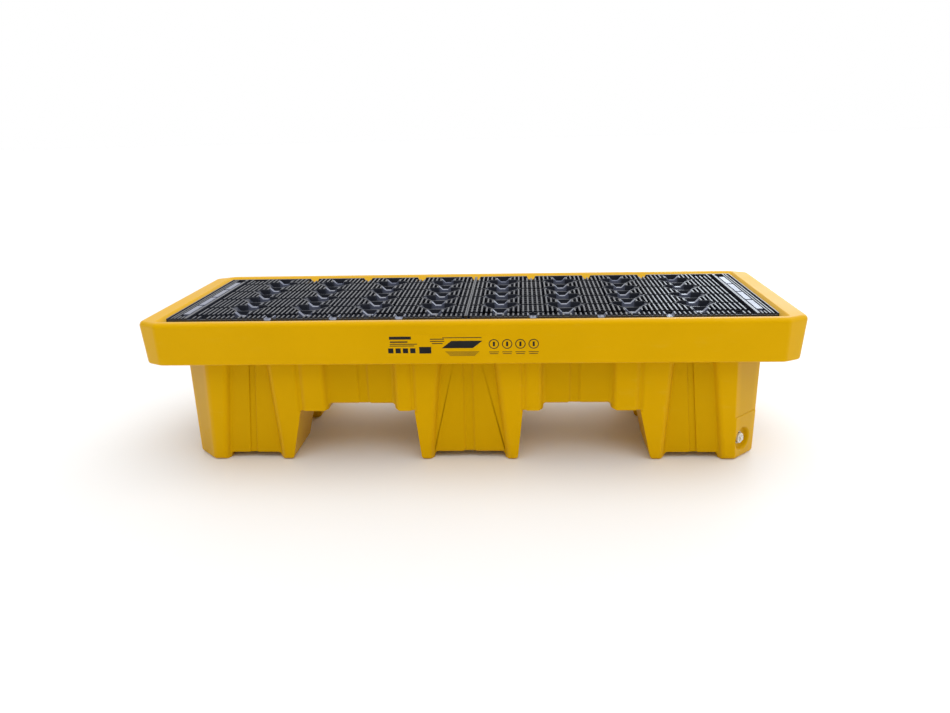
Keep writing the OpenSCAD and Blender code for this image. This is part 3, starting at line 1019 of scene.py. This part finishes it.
def plug_head(ribs):
    """Screw plug: ribbed head with a raised square drive, and a threaded shank."""
    bm = bmesh.new()
    head = [(0, 5.0), (11.5, 5.0), (13.6, 5.6), (15.0, 5.2), (15.5, 4.2), (15.5, 0.6),
            (15.0, 0.0), (13.0, 0.0)]
    shank = [(13.0, -1.0)]
    for turn in range(8):
        z = -2.0 - 2.4 * turn
        shank += [(12.2, z), (13.35, z - 0.9), (13.35, z - 1.3), (12.2, z - 2.2)]
    profile = head + shank + [(10.5, -22.4), (0, -22.4)]
    verts = [bm.verts.new(Vector((r, 0, z)) * MM) for r, z in profile]
    edges = [bm.edges.new(pair) for pair in zip(verts, verts[1:])]
    bmesh.ops.spin(bm, geom=verts + edges, cent=(0, 0, 0), axis=(0, 0, 1),
                   angle=2 * math.pi, steps=ribs * 4, use_merge=True)
    bmesh.ops.remove_doubles(bm, verts=bm.verts, dist=0.00001)
    for vert in bm.verts:
        r = math.hypot(vert.co.x, vert.co.y) / MM
        z = vert.co.z / MM
        if r > 14.9 and 0.3 < z < 5.0:
            turn = math.atan2(vert.co.y, vert.co.x) * ribs
            pull = 1.0 - 0.035 * (0.5 + 0.5 * math.cos(turn))
            vert.co.x *= pull
            vert.co.y *= pull
    drive = block(-7, 7, -7, 7, 4.6, 11.0)
    bmesh.ops.bevel(drive, geom=drive.edges[:], offset=1.2 * MM, segments=3, affect="EDGES",
                    profile=0.5, material=-1)
    bm = joined([bm, drive])
    bmesh.ops.recalc_face_normals(bm, faces=bm.faces)
    bmesh.ops.translate(bm, verts=bm.verts, vec=(0, 0, (2.5 - RECESS_DEPTH) * MM))
    bmesh.ops.transform(bm, matrix=DRAIN_PLACE, verts=bm.verts)
    return bm


def bar(x, z, w, h, lean=0.0):
    """A flat bar of print, centred on x and z."""
    return [(x - w / 2 - lean, z - h / 2), (x + w / 2 - lean, z - h / 2),
            (x + w / 2 + lean, z + h / 2), (x - w / 2 + lean, z + h / 2)]


def ring_print(x, z, r, w):
    """A printed ring."""
    bm = bmesh.new()
    bmesh.ops.create_circle(bm, cap_ends=True, segments=40, radius=r * MM)
    bmesh.ops.inset_region(bm, faces=bm.faces[:], thickness=w * MM, use_boundary=True)
    inner = min(bm.faces, key=lambda f: abs(len(f.verts) - 40))
    bmesh.ops.delete(bm, geom=[inner], context="FACES_ONLY")
    bmesh.ops.rotate(bm, verts=bm.verts, matrix=Matrix.Rotation(math.radians(90), 3, "X"))
    bmesh.ops.translate(bm, verts=bm.verts, vec=(x * MM, 0, z * MM))
    return bm


def flat_print(outline):
    """A flat printed shape in X and Z."""
    bm = bmesh.new()
    bm.faces.new([bm.verts.new(point(u, v, 0, "y")) for u, v in outline])
    return bm


def label_shapes():
    """The label's print: plain bars, squares and four rings."""
    def at(s, t):
        return (LABEL_LOW[0] + s * (LABEL_HIGH[0] - LABEL_LOW[0]),
                LABEL_LOW[2] + t * (LABEL_HIGH[2] - LABEL_LOW[2]))

    shapes = [flat_print(bar(*at(s, t), w, h, lean)) for s, t, w, h, lean in LABEL_BARS]
    for k in range(4):
        share = 0.705 + 0.085 * k
        x, z = at(share, 0.56)
        shapes.append(ring_print(x, z, 14.5, 2.6))
        shapes.append(flat_print(bar(x, z, 6, 14)))
        shapes.append(flat_print(bar(*at(share, 0.20), 28, 2.0)))
        shapes.append(flat_print(bar(*at(share, 0.12), 24, 2.0)))
    return joined(shapes)


def on_lip(bm, proud, flat=False):
    """Moves flat print onto the leaning face of the lip, that far proud of it."""
    for vert in bm.verts:
        vert.co.y += (lip_lean(vert.co.z / MM) - HALF_W - proud) * MM
    bmesh.ops.recalc_face_normals(bm, faces=bm.faces)
    for face in bm.faces:
        if flat and face.normal.y > 0.5:
            face.normal_flip()
    return bm


# ---------------------------------------------------------------- operators

class PALLET_OT_stage(bpy.types.Operator):
    """Pale floor, soft light and the camera"""

    bl_idname = "pallet.stage"
    bl_label = "Stage"

    def execute(self, context):
        settings = context.scene.pallet_stage
        floor = bmesh.new()
        bmesh.ops.create_grid(floor, x_segments=1, y_segments=1, size=30.0)
        bmesh.ops.translate(floor, verts=floor.verts, vec=(0, 0, -0.0005))
        ground = make_object("floor", floor)
        ground.data.materials.append(floor_material(settings.floor))
        world = bpy.data.worlds.new("studio")
        context.scene.world = world
        world.use_nodes = True
        surroundings(world.node_tree)
        lamp = bpy.data.lights.new("side", "AREA")
        lamp.shape = "RECTANGLE"
        lamp.size, lamp.size_y = SIDE_SIZE
        lamp.energy = SIDE_POWER
        lamp.color = SIDE_TINT
        holder = hang("side", lamp)
        holder.location = SIDE_PLACE
        turn = (Vector(SIDE_AIM) - Vector(SIDE_PLACE)).to_track_quat("-Z", "Y")
        holder.rotation_euler = turn.to_euler()
        sun = bpy.data.lights.new("overhead", "SUN")
        sun.energy = OVERHEAD
        sun.angle = math.radians(OVERHEAD_SPREAD)
        hang("overhead", sun).rotation_euler = [math.radians(v) for v in OVERHEAD_TURN]
        camera = bpy.data.cameras.new("camera")
        camera.lens = settings.lens
        camera.sensor_width = 36.0
        camera.clip_start = 0.05
        context.scene.camera = hang("camera", camera)
        context.scene.camera.matrix_world = camera_matrix()
        context.scene.view_settings.view_transform = "Standard"
        return {"FINISHED"}


def hang(name, data):
    """Puts a lamp or the camera into the scene."""
    holder = bpy.data.objects.new(name, data)
    bpy.context.scene.collection.objects.link(holder)
    return holder


def camera_matrix():
    """Where the camera stands and looks, from its pitch, yaw and roll."""
    pitch, yaw, roll = (math.radians(v) for v in CAMERA_TURN)
    ahead = Vector((-math.sin(yaw) * math.cos(pitch), math.cos(yaw) * math.cos(pitch),
                    -math.sin(pitch)))
    right = Vector((math.cos(yaw), math.sin(yaw), 0))
    up = right.cross(ahead)
    side = right * math.cos(roll) + up * math.sin(roll)
    head = up * math.cos(roll) - right * math.sin(roll)
    turn = Matrix((side, head, -ahead)).transposed().to_4x4()
    return Matrix.Translation(CAMERA_PLACE) @ turn


def surroundings(tree):
    """White studio light from all round, weaker in front and on the left."""
    n = Nodes(tree)
    way = n.add("ShaderNodeSeparateXYZ", {
        0: n.add("ShaderNodeTexCoord").outputs["Generated"]}).outputs
    level = n.sum("ADD", n.sum("MULTIPLY", way[0], ROOM_X), n.sum("MULTIPLY", way[1], ROOM_Y))
    level = n.sum("ADD", level, ROOM)
    level = n.sum("MINIMUM", n.sum("MAXIMUM", level, ROOM_LEAST), 1.0)
    background = tree.nodes["Background"]
    background.inputs[0].default_value = (1.0, 1.0, 1.0, 1.0)
    tree.links.new(level, background.inputs[1])


def floor_material(colour):
    """Pale matt floor with a faint unevenness."""
    material = bpy.data.materials.new("floor")
    material.use_nodes = True
    n = Nodes(material.node_tree)
    place = n.add("ShaderNodeTexCoord").outputs["Object"]
    tone = n.mix(n.noise(place, 1.5), shaded(colour, 0.985), shaded(colour, 1.015))
    shader = material.node_tree.nodes["Principled BSDF"]
    material.node_tree.links.new(tone, shader.inputs["Base Color"])
    shader.inputs["Roughness"].default_value = 0.6
    return material


class PALLET_OT_tub(bpy.types.Operator):
    """Moulded tub with its lip, legs and fork pockets"""

    bl_idname = "pallet.tub"
    bl_label = "Tub"

    def execute(self, context):
        settings = context.scene.pallet_tub
        # The third colour is painted shade: a darker yellow for the base's recesses.
        material = plastic("tub polyethylene", settings.yellow, shaded(settings.yellow, 0.86))
        tub = build_tub(settings)
        finish_piece(tub, "tub", material, ["sump_tub"])
        return {"FINISHED"}


class PALLET_OT_decks(bpy.types.Operator):
    """The two lift-out gratings"""

    bl_idname = "pallet.decks"
    bl_label = "Gratings"

    def execute(self, context):
        settings = context.scene.pallet_deck
        material = plastic("grating plastic", settings.black)
        # Painted reflection: a lighter black on the scoops stands for the sky that their smooth
        # floors reflect.
        smooth = plastic("smooth reflection-painted grating plastic", shaded(settings.black, 1.8))
        # Painted highlight: a much lighter black on the notches, chutes and end plates stands for
        # the sheen that they reflect.
        highlight_painted = plastic("highlight-painted grating plastic", shaded(settings.black, 6.0))
        for side, sign in (("left", -1), ("right", 1)):
            for name, form, finish, nodes in (
                    ("grating_panel_", grating(sign), material, ["grating_" + side]),
                    ("scoops_", scoops(sign), smooth, ()),
                    ("painted_highlight_faces_", highlight_painted_faces(sign), highlight_painted, ())):
                obj = make_object(name + side, form)
                modifier = obj.modifiers.new("rounding", "BEVEL")
                modifier.width = settings.edge_round
                modifier.segments = 2
                modifier.limit_method = "ANGLE"
                modifier.angle_limit = math.radians(40)
                modifier.profile = 0.5
                apply_modifiers(obj)
                shade(obj, 50)
                finish_piece(obj, side + "_deck", finish, nodes)
        return {"FINISHED"}


class PALLET_OT_supports(bpy.types.Operator):
    """Finish of the support columns, which keep their CAD shape"""

    bl_idname = "pallet.supports"
    bl_label = "Supports"

    def execute(self, context):
        settings = context.scene.pallet_deck
        material = plastic("support plastic", settings.black)
        for name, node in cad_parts.items():
            if name.startswith("column"):
                repaint(node, material)
        return {"FINISHED"}


def repaint(node, material):
    """Gives a CAD node one material."""
    node.data.materials.clear()
    node.data.materials.append(material)


class PALLET_OT_drain(bpy.types.Operator):
    """Drain plug, seal and bushing"""

    bl_idname = "pallet.drain"
    bl_label = "Drain"

    def execute(self, context):
        settings = context.scene.pallet_drain
        white = plastic("plug plastic", settings.white)
        natural = plastic("bushing plastic", BUSHING_COLOUR)
        rubber = plastic("seal rubber", RUBBER_COLOUR)
        plug = make_object("plug", plug_head(settings.ribs))
        shade(plug, 40)
        finish_piece(plug, "plug", white, ["drain_plug"])
        repaint(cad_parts["plug_seal"], rubber)
        repaint(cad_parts["drain_bushing"], natural)
        return {"FINISHED"}


class PALLET_OT_label(bpy.types.Operator):
    """Printed film on the lip, with plain shapes only"""

    bl_idname = "pallet.label"
    bl_label = "Label"

    def execute(self, context):
        tub = context.scene.pallet_tub
        ink = context.scene.pallet_label.ink
        (x0, _, z0), (x1, _, z1) = LABEL_LOW, LABEL_HIGH
        film = block(x0, x1, 0, FILM_T, z0, z1)
        corners = [e for e in film.edges
                   if abs((e.verts[0].co - e.verts[1].co).y) > 1e-5]
        bmesh.ops.bevel(film, geom=corners, offset=FILM_CORNER * MM, segments=4,
                        affect="EDGES", profile=0.5, material=-1)
        sheet = make_object("label_film", on_lip(film, FILM_PROUD))
        finish_piece(sheet, "tub", plastic("label film", tub.yellow),
                     ["front_label"])
        marks = make_object("label_print", on_lip(label_shapes(), PRINT_PROUD, True))
        finish_piece(marks, "tub", plastic("label ink", ink))
        return {"FINISHED"}


class PALLET_PT_sidebar(bpy.types.Panel):
    """Lists the pallet's pieces"""

    bl_idname = "PALLET_PT_sidebar"
    bl_label = "Pallet"
    bl_space_type = "VIEW_3D"
    bl_region_type = "UI"
    bl_category = "Pallet"

    def draw(self, context):
        for operator in OPERATORS:
            self.layout.operator(operator.bl_idname)


GROUPS = [("pallet_tub", PalletTub), ("pallet_deck", PalletDeck), ("pallet_drain", PalletDrain),
          ("pallet_label", PalletLabel), ("pallet_stage", PalletStage)]
OPERATORS = [PALLET_OT_stage, PALLET_OT_tub, PALLET_OT_decks, PALLET_OT_supports,
             PALLET_OT_drain, PALLET_OT_label]


def register():
    """Adds the settings, operators and panel."""
    for name, group in GROUPS:
        bpy.utils.register_class(group)
        setattr(bpy.types.Scene, name, bpy.props.PointerProperty(type=group))
    for operator in OPERATORS:
        bpy.utils.register_class(operator)
    bpy.utils.register_class(PALLET_PT_sidebar)


def unregister():
    """Removes them again."""
    bpy.utils.unregister_class(PALLET_PT_sidebar)
    for operator in reversed(OPERATORS):
        bpy.utils.unregister_class(operator)
    for name, group in reversed(GROUPS):
        delattr(bpy.types.Scene, name)
        bpy.utils.unregister_class(group)


def main():
    """Builds everything."""
    register()
    bpy.ops.pallet.stage()
    bpy.ops.pallet.tub()
    bpy.ops.pallet.decks()
    bpy.ops.pallet.supports()
    bpy.ops.pallet.drain()
    bpy.ops.pallet.label()


if __name__ == "__main__":
    main()
